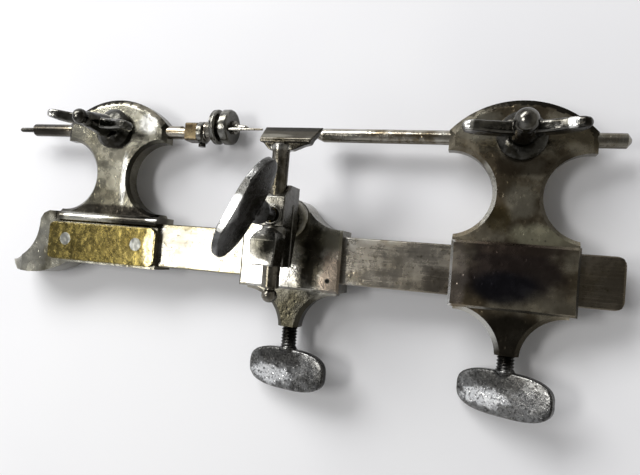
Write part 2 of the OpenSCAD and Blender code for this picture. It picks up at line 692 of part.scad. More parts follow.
// Thumbscrew in front of the holder
module holder_thumbscrew() {
  z = boss_top + 2.2;
  color([0.46, 0.45, 0.43]) translate([holder_x, holder_y, 0]) rotate([0, 0, 90 - holder_knob_turn]) {
    thread(holder_hole - fit, screw_z, z + 0.2);
    translate([0, 0, z]) cylinder(r = 2, h = screw_neck - 3);
    translate([0, 0, z + screw_neck - 3.1]) cylinder(r1 = 2, r2 = 3.3, h = 0.9);
    translate([0, 0, z + screw_neck - 2.2]) cylinder(r = 3.3, h = 1.2);
    translate([0, 0, z + screw_neck - 1]) cylinder(r1 = 3.3, r2 = 1.9, h = 2.4);
    translate([0, 0, z + screw_neck + 0.7 + knob_high]) oval_knob();
  }
}

// Pad between the thumbscrew and the stem
module holder_pad() {
  color([0.6, 0.5, 0.28]) translate([holder_x, holder_y, pad_z]) cylinder(r = holder_hole - 0.07, h = pad_thick);
}

// Rest: blade with a sloping front, web and round stem
module tool_rest() {
  x0 = holder_x - 5.9;
  x1 = x0 + blade_long;
  t = blade_top;
  r = stem_d / 2;
  color([0.4, 0.4, 0.39]) {
    difference() {
      union() {
        translate([x0, 0, 0]) rotate([90, 0, 90]) linear_extrude(height = blade_long)
          polygon([[t, stem_z - 2.6], [t, stem_z - 2], [t - 3.9, stem_z + 1.9], [t - 4.9, stem_z + 1.9],
            [t - 4.9, stem_z - 0.4], [t - 2.6, stem_z - 2.6]]);
        // web below the blade
        translate([0, 0, stem_z - 1.2]) linear_extrude(height = 2.7)
          polygon([[x0 + 0.5, t - 3.6], [x1 - 0.5, t - 3.6], [x1 - 0.5, t - 4.7], [x1 - 4.3, t - 5.7],
            [holder_x + 3.6, t - 7], [holder_x - 3.2, t - 7], [holder_x - 4.4, t - 5.7],
            [x0 + 0.5, t - 4.7]]);
      }
      // slanted right end
      translate([x1, t, stem_z - 4]) linear_extrude(height = 8)
        polygon([[0.3, 0.7], [-2.4, -5.2], [-2.4, -8], [3, -8], [3, 0.7]]);
    }
    translate([holder_x, t - 7.3, stem_z]) to_y() cylinder(r1 = r, r2 = r + 0.35, h = 1.6);
    translate([holder_x, t - 5.7, stem_z]) to_y() cylinder(r1 = r + 0.35, r2 = 1.2, h = 1.8);
    translate([holder_x, stem_low, stem_z]) to_y() cylinder(r = r, h = stem_long - 6.8);
  }
}

// Flattened ball at the foot of the stem
module rest_finial() {
  color([0.42, 0.42, 0.4]) translate([holder_x, stem_low, stem_z]) to_y() rotate_extrude()
    polygon([[0, -4], [0.8, -3.9], [1.5, -3.5], [2, -2.85], [2.2, -2.1], [2.05, -1.35], [1.7, -0.8],
      [1.4, -0.55], [1.4, 0], [0, 0]]);
}

bed_bar();
headstock();
front_cheek();
rear_cheek();
left_rivet();
right_rivet();
left_runner();
runner_block();
runner_collar();
collar_screw();
pulley();
driver_pin();
nose_ring();
left_screw_bush();
left_wing_screw();
left_pad();
tailstock();
tailstock_shoe();
tailstock_thumbscrew();
tailstock_runner();
right_screw_bush();
right_wing_screw();
right_pad();
saddle();
saddle_shoe();
saddle_thumbscrew();
saddle_boss();
rest_holder();
holder_thumbscrew();
holder_pad();
tool_rest();
rest_finial();
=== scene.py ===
"""A watchmaker's turns lying on its back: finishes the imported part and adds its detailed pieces."""

import json
import logging
import math
from dataclasses import dataclass, field
from enum import Enum
from typing import Callable, Optional, Sequence, Union

import bpy
from mathutils import Matrix, Vector

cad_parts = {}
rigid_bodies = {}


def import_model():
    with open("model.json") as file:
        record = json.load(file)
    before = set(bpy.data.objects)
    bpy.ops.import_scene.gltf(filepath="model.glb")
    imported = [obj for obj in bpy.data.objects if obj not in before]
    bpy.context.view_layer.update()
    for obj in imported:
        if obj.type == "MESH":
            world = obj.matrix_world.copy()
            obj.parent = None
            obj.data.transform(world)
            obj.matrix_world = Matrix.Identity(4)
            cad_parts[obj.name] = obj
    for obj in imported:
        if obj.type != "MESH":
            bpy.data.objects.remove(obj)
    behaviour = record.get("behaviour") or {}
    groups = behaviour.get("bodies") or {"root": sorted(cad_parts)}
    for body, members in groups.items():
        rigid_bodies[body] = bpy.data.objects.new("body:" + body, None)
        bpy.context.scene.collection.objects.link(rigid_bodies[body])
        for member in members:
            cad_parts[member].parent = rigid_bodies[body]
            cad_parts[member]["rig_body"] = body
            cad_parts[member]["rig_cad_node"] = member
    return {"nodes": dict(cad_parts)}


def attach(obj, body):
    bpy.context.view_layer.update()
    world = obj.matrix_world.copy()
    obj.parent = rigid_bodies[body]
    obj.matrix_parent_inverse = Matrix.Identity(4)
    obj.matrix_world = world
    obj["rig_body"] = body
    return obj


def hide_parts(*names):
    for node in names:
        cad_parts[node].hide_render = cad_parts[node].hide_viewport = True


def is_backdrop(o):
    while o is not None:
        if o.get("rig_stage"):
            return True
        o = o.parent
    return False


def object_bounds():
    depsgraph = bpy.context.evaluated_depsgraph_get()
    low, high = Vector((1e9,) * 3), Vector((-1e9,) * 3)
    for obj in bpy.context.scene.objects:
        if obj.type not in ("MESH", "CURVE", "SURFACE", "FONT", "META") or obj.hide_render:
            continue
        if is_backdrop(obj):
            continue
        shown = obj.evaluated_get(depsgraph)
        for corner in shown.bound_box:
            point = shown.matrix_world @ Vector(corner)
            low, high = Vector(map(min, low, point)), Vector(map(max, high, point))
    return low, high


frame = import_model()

LOG = logging.getLogger("turns")
MM = 0.001
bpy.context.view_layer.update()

# Places and sizes in millimetres that the part shares
AXIS_Y = 38.4
TAIL_X = 128.5
SADDLE_X = 66.2
MIDDLE_Z = 6
PITCH = 0.92
THREAD_DEPTH = 0.32
SHANK_RADIUS = 2.325
SHANK_TIP = -7.5
WING_SHANK = (2.0, 9.6, 13.6)

# Distances in metres
WELD = 0.0000015
THREAD_WELD = 0.000002
FINE_RELIEF = 0.00014

RAMP_ENDS = ("From Min", "From Max", "To Min", "To Max")

Colour = tuple[float, float, float]
Socket = bpy.types.NodeSocket
FaceTest = Callable[[Vector, Vector], bool]


class Grain(Enum):
    """The way in which file or polishing marks run on a surface."""

    NONE = (1.0, 1.0, 1.0)
    ALONG_BAR = (0.03, 1.0, 1.0)
    ACROSS_BAR = (1.0, 0.03, 1.0)


class Edge(Enum):
    """How a solid's sharp edges are eased, as (width in mm, segments, smallest edge angle in degrees)."""

    CRISP = (0.12, 2, 32.0)
    FILED = (0.22, 2, 30.0)


class Desk:
    """Wires the nodes of one material."""

    def __init__(self, name: str) -> None:
        """Starts an empty material with one principled shader.

        Args:
            name: Name of the material.
        """
        self.material = bpy.data.materials.new(name)
        self.material.use_nodes = True
        self.tree = self.material.node_tree
        self.tree.nodes.clear()
        out = self.add("ShaderNodeOutputMaterial")
        self.shader = self.add("ShaderNodeBsdfPrincipled")
        self.tree.links.new(self.shader.outputs["BSDF"], out.inputs["Surface"])
        self.place = self.add("ShaderNodeTexCoord").outputs["Object"]

    def add(self, kind: str, **settings: object) -> bpy.types.Node:
        """Adds a node.

        Args:
            kind: Node type.
            settings: Properties of the node to set.

        Returns:
            The new node.
        """
        node = self.tree.nodes.new(kind)
        for key, value in settings.items():
            setattr(node, key, value)
        return node

    def feed(self, socket: Socket, value: Union[Socket, float, Sequence[float]]) -> None:
        """Links a socket, or sets its value.

        Args:
            socket: The input socket.
            value: An output socket, a number or a colour.
        """
        if isinstance(value, bpy.types.NodeSocket):
            self.tree.links.new(value, socket)
        elif isinstance(value, (int, float)):
            socket.default_value = value
        else:
            socket.default_value = (*value, 1.0) if len(socket.default_value) == 4 else tuple(value)

    def moved(self, centre: Sequence[float], scale: Sequence[float]) -> Socket:
        """Object coordinates, shifted and then stretched.

        Args:
            centre: Point in millimetres that becomes the origin.
            scale: Factor on each axis.

        Returns:
            The vector socket.
        """
        shift = self.add("ShaderNodeVectorMath", operation="SUBTRACT")
        self.feed(shift.inputs[0], self.place)
        shift.inputs[1].default_value = [c * MM for c in centre]
        stretch = self.add("ShaderNodeVectorMath", operation="MULTIPLY")
        self.feed(stretch.inputs[0], shift.outputs[0])
        stretch.inputs[1].default_value = list(scale)
        return stretch.outputs[0]

    def noise(self, scale: float, detail: float, rough: float, vector: Optional[Socket] = None) -> Socket:
        """A noise value.

        Args:
            scale: Features per metre.
            detail: Octaves.
            rough: Strength of the fine octaves.
            vector: Coordinates, or None for the plain object coordinates.

        Returns:
            The value socket, near 0.5 on average.
        """
        node = self.add("ShaderNodeTexNoise")
        self.feed(node.inputs["Vector"], vector or self.place)
        node.inputs["Scale"].default_value = scale
        node.inputs["Detail"].default_value = detail
        node.inputs["Roughness"].default_value = rough
        return node.outputs[0]

    def cells(self, scale: float) -> Socket:
        """Distance to the nearest of scattered points, for pits.

        Args:
            scale: Points per metre.

        Returns:
            The value socket.
        """
        node = self.add("ShaderNodeTexVoronoi")
        self.feed(node.inputs["Vector"], self.place)
        node.inputs["Scale"].default_value = scale
        return node.outputs["Distance"]

    def ramp(self, value: Socket, low: float, high: float, to_low: float = 0.0,
             to_high: float = 1.0) -> Socket:
        """A smooth step between two values.

        Args:
            value: The socket to read.
            low: Value at which the step starts.
            high: Value at which it ends.
            to_low: Result before the step.
            to_high: Result after the step.

        Returns:
            The value socket.
        """
        node = self.add("ShaderNodeMapRange", interpolation_type="SMOOTHSTEP")
        self.feed(node.inputs["Value"], value)
        for key, number in zip(RAMP_ENDS, (low, high, to_low, to_high)):
            node.inputs[key].default_value = number
        return node.outputs["Result"]

    def sum(self, operation: str, a: Union[Socket, float], b: Union[Socket, float]) -> Socket:
        """A math node.

        Args:
            operation: Name of the operation.
            a: First value.
            b: Second value.

        Returns:
            The result socket.
        """
        node = self.add("ShaderNodeMath", operation=operation)
        self.feed(node.inputs[0], a)
        self.feed(node.inputs[1], b)
        return node.outputs[0]

    def facing(self) -> Socket:
        """How far the surface faces the front of the object; it places painted highlights on slanted faces
        and painted shade on walls.

        Returns:
            The value socket, 1 on a front face and 0 on a wall.
        """
        split = self.add("ShaderNodeSeparateXYZ")
        self.feed(split.inputs[0], self.tree.nodes["Texture Coordinate"].outputs["Normal"])
        return self.sum("ABSOLUTE", split.outputs["Z"], 0.0)

    def blend(self, share: Socket, a: Union[Socket, Colour], b: Union[Socket, Colour]) -> Socket:
        """A mix of two colours.

        Args:
            share: Share of the second colour.
            a: First colour.
            b: Second colour.

        Returns:
            The colour socket.
        """
        node = self.add("ShaderNodeMix", data_type="RGBA")
        self.feed(node.inputs[0], share)
        self.feed(node.inputs[6], a)
        self.feed(node.inputs[7], b)
        return node.outputs[2]


@dataclass(frozen=True)
class Zone:
    """A patch of another colour round a point, such as a stain, a painted highlight, painted shade or a
    painted reflection.
    """

    centre: tuple[float, float, float]
    reach: tuple[float, float, float]
    colour: Colour
    strength: float = 1.0
    ragged: float = 0.5
    grain: float = 160.0
    slanted: bool = False

    def mask(self, desk: Desk) -> Socket:
        """The patch's share at each point.

        Args:
            desk: The material to wire it in.

        Returns:
            The value socket, from 0 to the patch's strength.
        """
        near = desk.moved(self.centre, [1.0 / (r * MM) for r in self.reach])
        length = desk.add("ShaderNodeVectorMath", operation="LENGTH")
        desk.feed(length.inputs[0], near)
        rim = desk.sum("MULTIPLY_ADD", desk.noise(self.grain, 5, 0.62), self.ragged * 2)
        rim.node.inputs[2].default_value = -self.ragged
        far = desk.sum("ADD", length.outputs["Value"], rim)
        return desk.ramp(far, 1.15, 0.6, 0.0, self.strength)


@dataclass(frozen=True)
class Metal:
    """An old metal surface: two tones in soft clouds, fine specks, pits, marks of the file, slanted faces
    brightened as wear and painted highlight, walls darkened as patina and painted shade, and patches of
    stain, painted highlight, painted shade and painted reflection.
    """

    name: str
    clean: Colour
    stain: Colour
    dark: Colour
    rough: tuple[float, float] = (0.15, 0.34)
    cloud: float = 70.0
    share: tuple[float, float] = (0.44, 0.57)
    speck: float = 900.0
    specks: tuple[float, float] = (0.6, 0.72)
    pits: float = 0.25
    grain: Grain = Grain.NONE
    marks: float = 0.25
    # How far walls are darkened: patina and painted shade.
    sides: float = 0.6
    tint: Optional[Colour] = None
    # How far slanted faces are brightened in patches: edge wear and painted highlight.
    wear_and_highlight: float = 0.35
    dents: float = 0.55
    zones: tuple[Zone, ...] = ()

    def build(self) -> bpy.types.Material:
        """Makes the material.

        Returns:
            The material, with its colour, roughness and bump wired to its place on the object.
        """
        desk = Desk(self.name)
        clouds = desk.noise(self.cloud, 6, 0.6)
        fine = desk.noise(self.speck, 5, 0.7)
        colour = desk.blend(desk.ramp(clouds, *self.share), self.clean, self.stain)
        tone = desk.noise(self.speck * 0.22, 4, 0.6)
        colour = desk.blend(desk.ramp(tone, 0.5, 0.85, 0.0, 0.55), colour, self.stain)
        if self.tint:
            slow = desk.noise(self.cloud * 0.42, 5, 0.62)
            colour = desk.blend(desk.ramp(slow, 0.46, 0.66, 0.0, 0.75), colour, self.tint)
        rough = desk.ramp(desk.noise(self.cloud * 2.3, 5, 0.65), 0.35, 0.7, *self.rough)
        # Slanted faces and chamfers are brightened in patches: edge wear and painted highlight.
        slant = desk.sum("MULTIPLY", desk.ramp(desk.facing(), 0.996, 0.965),
                         desk.ramp(desk.facing(), 0.25, 0.42))
        rubbed_and_highlit = desk.ramp(desk.noise(self.cloud * 3.1, 4, 0.6), 0.4, 0.56, 0.0, self.wear_and_highlight)
        bright = tuple(min(0.8, c * 1.5 + 0.12) for c in self.clean)
        colour = desk.blend(desk.sum("MULTIPLY", slant, rubbed_and_highlit), colour, bright)
        for zone in self.zones:
            mask = zone.mask(desk)
            if zone.slanted:
                mask = desk.sum("MULTIPLY", mask, slant)
            colour = desk.blend(mask, colour, zone.colour)
        colour = desk.blend(desk.ramp(fine, self.specks[0], self.specks[1], 0.0, 0.8), colour, self.dark)
        # Walls are darkened by how far they turn from the front: patina and painted shade.
        colour = desk.blend(desk.ramp(desk.facing(), 0.85, 0.25, 0.0, self.sides), colour, self.dark)
        height = desk.sum("MULTIPLY", fine, 0.6)
        holes = desk.ramp(desk.cells(self.speck * 0.55), 0.16, 0.3, -1.0, 0.0)
        holes = desk.sum("MULTIPLY", holes, desk.ramp(clouds, 0.44, 0.6))
        height = desk.sum("ADD", height, desk.sum("MULTIPLY", holes, self.pits * 2))
        if self.grain is not Grain.NONE:
            lines = desk.noise(2600.0, 3, 0.6, desk.moved((0, 0, 0), self.grain.value))
            height = desk.sum("ADD", height, desk.sum("MULTIPLY", lines, self.marks))
            colour = desk.blend(desk.ramp(lines, 0.56, 0.78, 0.0, 0.35), colour, self.stain)
            rough = desk.sum("ADD", rough, desk.sum("MULTIPLY", desk.ramp(lines, 0.4, 0.7), 0.08))
        wave = desk.add("ShaderNodeBump")
        wave.inputs["Strength"].default_value = 0.4
        wave.inputs["Distance"].default_value = self.dents * MM
        desk.feed(wave.inputs["Height"], desk.noise(self.cloud * 2.2, 1, 0.4))
        bump = desk.add("ShaderNodeBump")
        bump.inputs["Strength"].default_value = 0.6
        bump.inputs["Distance"].default_value = FINE_RELIEF
        desk.feed(bump.inputs["Height"], height)
        desk.feed(bump.inputs["Normal"], wave.outputs[0])
        desk.feed(desk.shader.inputs["Base Color"], colour)
        desk.feed(desk.shader.inputs["Roughness"], rough)
        desk.feed(desk.shader.inputs["Normal"], bump.outputs[0])
        desk.shader.inputs["Metallic"].default_value = 1.0
        return desk.material


@dataclass(frozen=True)
class Paper:
    """The pale sheet on which the object lies."""

    name: str = "floor_paper"
    near: Colour = (0.80, 0.80, 0.82)
    far: Colour = (0.86, 0.86, 0.87)

    def build(self) -> bpy.types.Material:
        """Makes the material.

        Returns:
            A matt pale material with a slight, slow change of tone.
        """
        desk = Desk(self.name)
        tone = desk.noise(6.0, 3, 0.5)
        colour = desk.blend(desk.ramp(tone, 0.35, 0.65), self.near, self.far)
        desk.feed(desk.shader.inputs["Base Color"], colour)
        desk.shader.inputs["Roughness"].default_value = 0.85
        return desk.material


class Bench:
    """Modelling steps that work on one object at a time."""

    @staticmethod
    def alone(piece: bpy.types.Object) -> None:
        """Makes a piece the only selected and the active object.

        Args:
            piece: The object.
        """
        Bench.clear()
        piece.select_set(True)
        bpy.context.view_layer.objects.active = piece

    @staticmethod
    def clear() -> None:
        """Deselects every object."""
        for other in bpy.context.view_layer.objects:
            other.select_set(False)

    @staticmethod
    def pick(piece: bpy.types.Object, test: FaceTest) -> None:
        """Opens a piece in edit mode with some faces selected.

        Args:
            piece: The object, in object mode.
            test: Says from a face's centre and normal whether it is selected.
        """
        Bench.alone(piece)
        bpy.ops.object.mode_set(mode="EDIT")
        bpy.ops.mesh.select_mode(type="FACE")
        bpy.ops.mesh.select_all(action="DESELECT")
        bpy.ops.object.mode_set(mode="OBJECT")
        for face in piece.data.polygons:
            face.select = bool(test(face.center, face.normal))
        bpy.ops.object.mode_set(mode="EDIT")

    @staticmethod
    def close() -> None:
        """Leaves edit mode."""
        bpy.ops.object.mode_set(mode="OBJECT")

    @staticmethod
    def apply(piece: bpy.types.Object, kind: str, **settings: object) -> None:
        """Adds a modifier to a piece and applies it.

        Args:
            piece: The object.
            kind: Modifier type.
            settings: Properties of the modifier.
        """
        modifier = piece.modifiers.new(kind.lower(), kind)
        for key, value in settings.items():
            setattr(modifier, key, value)
        Bench.alone(piece)
        bpy.ops.object.modifier_apply(modifier=modifier.name)

    @staticmethod
    def turned(name: str, rings: Sequence[tuple[float, float]], sides: int = 48) -> bpy.types.Object:
        """A round solid along Z, drawn up ring by ring from a disc.

        Args:
            name: Name of the new object.
            rings: Pairs of height and radius in millimetres, from the bottom up.
            sides: Number of sides.

        Returns:
            The closed solid.
        """
        Bench.clear()
        z, r = rings[0]
        bpy.ops.mesh.primitive_circle_add(vertices=sides, radius=r * MM, fill_type="NGON",
                                          location=(0, 0, z * MM))
        piece = bpy.context.object
        piece.name = name
        bpy.ops.object.transform_apply(location=True, rotation=True, scale=True)
        bpy.ops.object.mode_set(mode="EDIT")
        bpy.ops.mesh.select_mode(type="FACE")
        bpy.ops.mesh.select_all(action="SELECT")
        for (z0, r0), (z1, r1) in zip(rings, rings[1:]):
            bpy.ops.mesh.extrude_region_move(TRANSFORM_OT_translate={"value": (0, 0, (z1 - z0) * MM)})
            bpy.ops.transform.resize(value=(r1 / r0, r1 / r0, 1), center_override=(0, 0, z1 * MM))
        bpy.ops.mesh.select_all(action="SELECT")
        bpy.ops.mesh.normals_make_consistent(inside=False)
        Bench.close()
        return piece

    @staticmethod
    def joined(name: str, pieces: Sequence[bpy.types.Object]) -> bpy.types.Object:
        """Joins pieces into the first one.

        Args:
            name: Name of the result.
            pieces: The objects.

        Returns:
            The joined object.
        """
        Bench.alone(pieces[0])
        for other in pieces[1:]:
            other.select_set(True)
        bpy.ops.object.join()
        whole = bpy.context.object
        whole.name = name
        return whole

    @staticmethod
    def fused(piece: bpy.types.Object, voxel: float, rounds: int) -> bpy.types.Object:
        """Melts overlapping shells of a piece into one skin and softens it.

        Args:
            piece: The object.
            voxel: Size of the new faces in millimetres.
            rounds: Rounds of smoothing.

        Returns:
            The same object.
        """
        Bench.apply(piece, "REMESH", mode="VOXEL", voxel_size=voxel * MM, adaptivity=0.0)
        if rounds:
            Bench.apply(piece, "SMOOTH", factor=0.5, iterations=rounds)
        return piece

    @staticmethod
    def smooth(piece: bpy.types.Object, angle: float = 35.0) -> bpy.types.Object:
        """Shades a piece smoothly across edges under an angle.

        Args:
            piece: The object.
            angle: The angle in degrees.

        Returns:
            The same object.
        """
        Bench.alone(piece)
        bpy.ops.object.shade_smooth_by_angle(angle=math.radians(angle))
        return piece

    @staticmethod
    def thread(radius: float, foot: float, tip: float) -> bpy.types.Object:
        """A shank along Z with one helical thread.

        Args:
            radius: Radius over the thread in millimetres.
            foot: Height at which the shank starts.
            tip: Height at which it ends.

        Returns:
            The closed shank.
        """
        turns = round((tip - foot) / PITCH)
        pitch = (tip - foot) / turns
        Bench.clear()
        bpy.ops.mesh.primitive_plane_add(size=1.0)
        piece = bpy.context.object
        piece.name = "thread"
        root = radius - THREAD_DEPTH
        profile = ((root, 0.0), (root + 0.02, 0.12), (radius, 0.4),
                   (radius, 0.6), (root + 0.02, 0.88), (root, 1.0))
        points = [(r * MM, 0, (foot - pitch / 2 + h * pitch) * MM) for r, h in profile]
        piece.data.clear_geometry()
        piece.data.from_pydata(points, [(i, i + 1) for i in range(len(points) - 1)], [])
        Bench.apply(piece, "SCREW", axis="Z", angle=2 * math.pi, screw_offset=pitch * MM, iterations=turns,
                    steps=28, render_steps=28, use_merge_vertices=True, merge_threshold=THREAD_WELD)
        Bench.alone(piece)
        bpy.ops.object.mode_set(mode="EDIT")
        bpy.ops.mesh.select_all(action="SELECT")
        bpy.ops.mesh.remove_doubles(threshold=THREAD_WELD)
        bpy.ops.mesh.select_all(action="DESELECT")
        bpy.ops.mesh.select_mode(type="EDGE")
        bpy.ops.mesh.select_non_manifold()
        bpy.ops.mesh.fill_holes(sides=0)
        bpy.ops.mesh.select_all(action="SELECT")
        bpy.ops.mesh.normals_make_consistent(inside=False)
        Bench.close()
        return Bench.smooth(piece, 40.0)

    @staticmethod
    def placed(piece: bpy.types.Object, matrix: Matrix) -> bpy.types.Object:
        """Puts a piece in its place and leaves that place in its mesh.

        Args:
            piece: The object.
            matrix: Its place in the row frame.

        Returns:
            The same object.
        """
        piece.matrix_world = matrix
        Bench.alone(piece)
        bpy.ops.object.transform_apply(location=True, rotation=True, scale=True)
        return piece

    @staticmethod
    def copied(node: str, name: str) -> bpy.types.Object:
        """A merged copy of a solid of the part, free to be refined.

        Args:
            node: Name of the solid.
            name: Name of the copy.

        Returns:
            The copy, without finish.
        """
        mesh = frame["nodes"][node].data.copy()
        mesh.materials.clear()
        piece = bpy.data.objects.new(name, mesh)
        bpy.context.scene.collection.objects.link(piece)
        Bench.alone(piece)
        if mesh.has_custom_normals:
            bpy.ops.mesh.customdata_custom_splitnormals_clear()
        bpy.ops.object.mode_set(mode="EDIT")
        bpy.ops.mesh.select_all(action="SELECT")
        bpy.ops.mesh.remove_doubles(threshold=WELD)
        bpy.ops.mesh.dissolve_limited(angle_limit=math.radians(0.6))
        Bench.close()
        return piece

    @staticmethod
    def eased(node: str, name: str, edge: Edge) -> bpy.types.Object:
        """A copy of a solid with its sharp edges eased.

        Args:
            node: Name of the solid.
            name: Name of the copy.
            edge: How the edges are eased.

        Returns:
            The refined copy.
        """
        piece = Bench.copied(node, name)
        width, segments, angle = edge.value
        Bench.apply(piece, "BEVEL", width=width * MM, segments=segments, limit_method="ANGLE",
                    angle_limit=math.radians(angle), use_clamp_overlap=True, harden_normals=False)
        Bench.smooth(piece, 40.0)
        Bench.apply(piece, "WEIGHTED_NORMAL", weight=80, keep_sharp=True)
        return piece


@dataclass
class Maker:
    """Finishes pieces, lets them ride on their bodies and reports them."""

    metals: dict[str, bpy.types.Material] = field(default_factory=dict)

    def metal(self, finish: Metal) -> bpy.types.Material:
        """The material of a finish, made once.

        Args:
            finish: The finish.

        Returns:
            The material.
        """
        if finish.name not in self.metals:
            self.metals[finish.name] = finish.build()
        return self.metals[finish.name]

    def settle(self, piece: bpy.types.Object, finish: Metal, body: str, nodes: Sequence[str]) -> None:
        """Finishes a new piece and puts it in place of its solids.

        Args:
            piece: The piece, at its place.
            finish: Its finish.
            body: Body that it rides on.
            nodes: Solids that it stands for.
        """
        piece.data.materials.clear()
        piece.data.materials.append(self.metal(finish))
        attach(piece, body)
        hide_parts(*nodes)
        LOG.info("%s: %d faces on %s, for %s", piece.name, len(piece.data.polygons), body, ", ".join(nodes))

    def dress(self, node: str, finish: Metal) -> None:
        """Gives a solid of the part its finish.

        Args:
            node: Name of the solid.
            finish: Its finish.
        """
        solid = frame["nodes"][node]
        for index in range(len(solid.material_slots)):
            solid.material_slots[index].material = self.metal(finish)
        LOG.info("%s: finished as %s", node, finish.name)

    def refine(self, node: str, edge: Edge, finish: Metal) -> None:
        """Puts an eased and finished copy in place of a solid.

        Args:
            node: Name of the solid.
            edge: How its edges are eased.
            finish: Its finish.
        """
        body = frame["nodes"][node]["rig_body"]
        self.settle(Bench.eased(node, f"{node}_worn", edge), finish, body, [node])

    def forge(self, node: str, voxel: float, rounds: int, finish: Metal) -> None:
        """Puts a softened, one-skinned copy in place of a solid.

        Args:
            node: Name of the solid.
            voxel: Size of its faces in millimetres.
            rounds: Rounds of smoothing.
            finish: Its finish.
        """
        body = frame["nodes"][node]["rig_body"]
        piece = Bench.smooth(Bench.fused(Bench.copied(node, f"{node}_forged"), voxel, rounds), 50.0)
        self.settle(piece, finish, body, [node])


DARK: Colour = (0.03, 0.026, 0.02)
BLACK: Colour = (0.02, 0.018, 0.014)
OLIVE = Metal(
    "olive_steel", (0.45, 0.43, 0.35), (0.17, 0.155, 0.11), (0.035, 0.03, 0.02), tint=(0.27, 0.26, 0.21),
    wear_and_highlight=0.2,
    zones=(
        # Painted highlight on the upper right of the fixed head.
        Zone((12.6, 40.6, 9.0), (3.8, 3.8, 6.0), (0.84, 0.83, 0.77), 0.9, 0.4, 240.0),
        Zone((3.0, 30.5, 9.0), (12.0, 3.0, 4.0), (0.24, 0.22, 0.165), 0.6, 0.6, 200.0),
        Zone((19.0, 42.0, 9.0), (3.6, 4.6, 6.0), (0.20, 0.185, 0.14), 0.75, 0.4, 200.0),
        # Painted highlight: a bright strip down the waist.
        Zone((5.0, 22.0, 9.0), (1.3, 9.0, 3.0), (0.80, 0.79, 0.73), 0.85, 0.3, 200.0),
        Zone((-15.0, 37.5, 9.0), (5.0, 5.0, 3.0), (0.28, 0.265, 0.21), 0.55, 0.6, 240.0),
        Zone((-4.0, 15.5, 9.0), (9.0, 4.0, 4.0), (0.11, 0.10, 0.07), 0.75, 0.6, 220.0),
        # Painted contact shade and grime: a dark line where the post meets its foot.
        Zone((0.0, 11.4, 9.0), (26.0, 2.0, 2.0), (0.03, 0.026, 0.02), 0.95, 0.4, 220.0),
        # Painted shade on both ends of the foot's rounded top.
        Zone((15.0, 9.0, 10.0), (12.5, 4.5, 7.0), (0.018, 0.016, 0.013), 0.97, 0.25, 200.0),
        Zone((-17.5, 9.0, 10.0), (3.5, 3.5, 6.0), (0.05, 0.045, 0.035), 0.9, 0.3, 200.0),
        # Painted highlights: bright dashes along the foot's rounded top.
        Zone((-6.5, 9.3, 11.5), (9.5, 1.7, 2.5), (0.55, 0.54, 0.50), 0.8, 0.5, 300.0),
        Zone((18.5, 9.2, 11.5), (2.4, 1.1, 2.5), (0.55, 0.54, 0.50), 0.7, 0.5, 300.0),
        # Painted shade: the top right corner and the crown's chamfers darkened.
        Zone((20.8, 42.0, 9.0), (3.2, 1.5, 3.0), BLACK, 0.96, 0.15, 160.0),
        Zone((15.8, 44.8, 9.0), (3.4, 1.4, 3.0), BLACK, 0.96, 0.15, 160.0),
        Zone((0.0, 45.0, 8.0), (31.0, 14.0, 7.0), BLACK, 0.98, 0.05, 160.0, True),
        # Painted shade on the chamfers beside the waist.
        Zone((-9.0, 24.0, 8.0), (6.0, 12.0, 5.0), (0.10, 0.09, 0.07), 0.8, 0.4, 160.0, True),
        Zone((11.0, 25.0, 8.5), (8.0, 15.0, 5.0), (0.03, 0.028, 0.022), 0.94, 0.15, 160.0, True),
        Zone((-31.0, -3.0, 9.0), (9.0, 9.0, 12.0), (0.33, 0.32, 0.28), 0.6, 0.8),
    ))
BAR = Metal(
    "bar_steel", (0.66, 0.65, 0.61), (0.36, 0.335, 0.27), (0.09, 0.075, 0.04), rough=(0.17, 0.34),
    specks=(0.57, 0.66), grain=Grain.ALONG_BAR, marks=0.35, tint=(0.44, 0.41, 0.34), wear_and_highlight=0.15,
    zones=(
        Zone((103.0, 1.0, 9.0), (30.0, 12.0, 20.0), (0.26, 0.22, 0.16), 0.75, 0.45),
        Zone((112.0, -3.0, 9.0), (9.0, 5.0, 20.0), (0.10, 0.08, 0.06), 0.6, 0.8),
        Zone((40.0, 8.2, 9.0), (34.0, 1.9, 20.0), (0.22, 0.19, 0.10), 0.7, 1.1, 420.0),
        Zone((40.0, -6.2, 9.0), (34.0, 1.4, 20.0), (0.22, 0.19, 0.10), 0.7, 1.1, 420.0),
        Zone((155.0, 1.0, 6.0), (17.0, 16.0, 20.0), (0.13, 0.105, 0.07), 0.93, 0.35),
    ))
